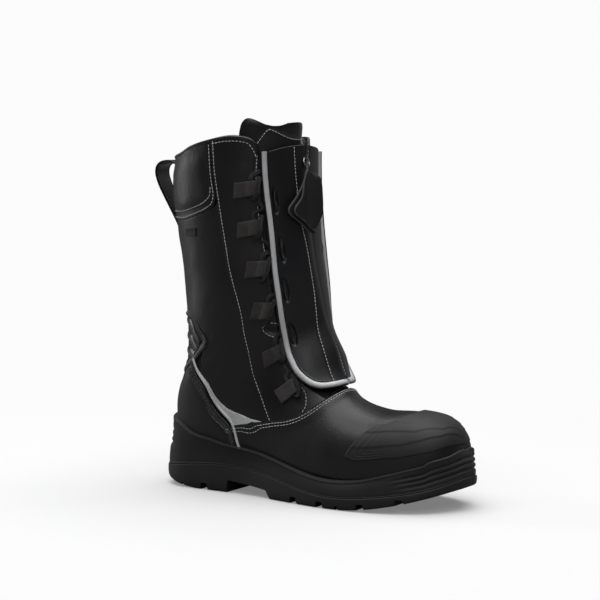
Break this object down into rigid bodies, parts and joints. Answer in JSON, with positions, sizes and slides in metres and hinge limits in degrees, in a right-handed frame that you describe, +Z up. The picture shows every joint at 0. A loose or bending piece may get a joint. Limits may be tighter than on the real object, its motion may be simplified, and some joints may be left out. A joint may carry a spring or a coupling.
{
  "type": "firefighting boot",
  "caption": "Tall black leather firefighting boot with laced-in front zip, reflective piping, rubber toe guard, rear pull strap and lugged rubber sole.",
  "frame": {"origin": "on the ground plane, at the centre of the heel tread", "axes": "+X to the toe, +Y to the inner side of the foot, +Z up"},
  "size_m": [0.3355, 0.1154, 0.3514],
  "materials": {
    "black_leather": "semi-gloss, hydrophobic full grain",
    "soft_leather": "softer, matt grain",
    "black_rubber": "matt moulded",
    "webbing": "woven, matt",
    "lace": "braided, matt",
    "lining_textile": "brushed textile",
    "reflective_silver": "silver retroreflective",
    "zip_tape": "woven tape with coil",
    "slider_metal": "plated, satin",
    "steel": "plain",
    "fibre_board": "pressed fibre board",
    "foam": "foam with textile face"
  },
  "bodies": {
    "boot": {"achilles_flex_panel": "soft_leather", "ankle_pad_lateral": "foam", "ankle_pad_medial": "foam", "collar_patch": "soft_leather", "facing_lateral": "black_leather", "facing_medial": "black_leather", "footbed": "foam", "heel_counter": "black_rubber", "heel_piping_lateral": "reflective_silver", "heel_piping_medial": "reflective_silver", "heel_reflector_lateral": "reflective_silver", "heel_reflector_medial": "reflective_silver", "heel_stiffener": "fibre_board", "insole_board": "fibre_board", "lace_lateral": "lace", "lace_loop_lateral_1": "webbing", "lace_loop_lateral_2": "webbing", "lace_loop_lateral_3": "webbing", "lace_loop_lateral_4": "webbing", "lace_loop_lateral_5": "webbing", "lace_loop_lateral_6": "webbing", "lace_loop_medial_1": "webbing", "lace_loop_medial_2": "webbing", "lace_loop_medial_3": "webbing", "lace_loop_medial_4": "webbing", "lace_loop_medial_5": "webbing", "lace_loop_medial_6": "webbing", "lace_medial": "lace", "lining_bootie": "lining_textile", "midsole": "black_rubber", "outsole": "black_rubber", "pull_loop": "black_leather", "puncture_plate": "steel", "quarter_lateral": "black_leather", "quarter_medial": "black_leather", "shank": "steel", "side_tag": "black_leather", "toe_cap": "steel", "toe_guard": "black_rubber", "tongue": "soft_leather", "vamp": "black_leather", "zip_bottom_stop": "slider_metal"},
    "zip_flap_lateral": {"zip_panel_lateral": "black_leather", "panel_piping_lateral": "reflective_silver", "zip_tape_lateral": "zip_tape"},
    "zip_flap_medial": {"zip_panel_medial": "black_leather", "panel_piping_medial": "reflective_silver", "zip_tape_medial": "zip_tape"},
    "slider": {"zip_slider": "slider_metal"},
    "pull": {"pull_ring": "slider_metal", "pull_tab": "black_leather"}
  },
  "joints": [
    {"name": "zip_opening_lateral", "type": "hinge", "parent": "boot", "child": "zip_flap_lateral", "pos_m": [0.13517, 0, 0.11338], "axis": [0.9018, 0, 0.4321], "range_deg": [0, 6.5]},
    {"name": "zip_opening_medial", "type": "hinge", "parent": "boot", "child": "zip_flap_medial", "pos_m": [0.13517, 0, 0.11338], "axis": [-0.9018, 0, -0.4321], "range_deg": [0, 6.5]},
    {"name": "zip_travel", "type": "hinge", "parent": "boot", "child": "slider", "pos_m": [0.5226, 0, 0.299], "axis": [0, -1, 0], "range_deg": [0, 20.5]},
    {"name": "pull_swing", "type": "hinge", "parent": "slider", "child": "pull", "pos_m": [0.09886, 0, 0.3138], "axis": [0, -1, 0], "range_deg": [0, 80]}
  ],
  "couplings": [
    {"joint": "zip_opening_medial", "follows": "zip_opening_lateral", "ratio": 1},
    {"joint": "zip_travel", "follows": "zip_opening_lateral", "ratio": 3.154}
  ]
}
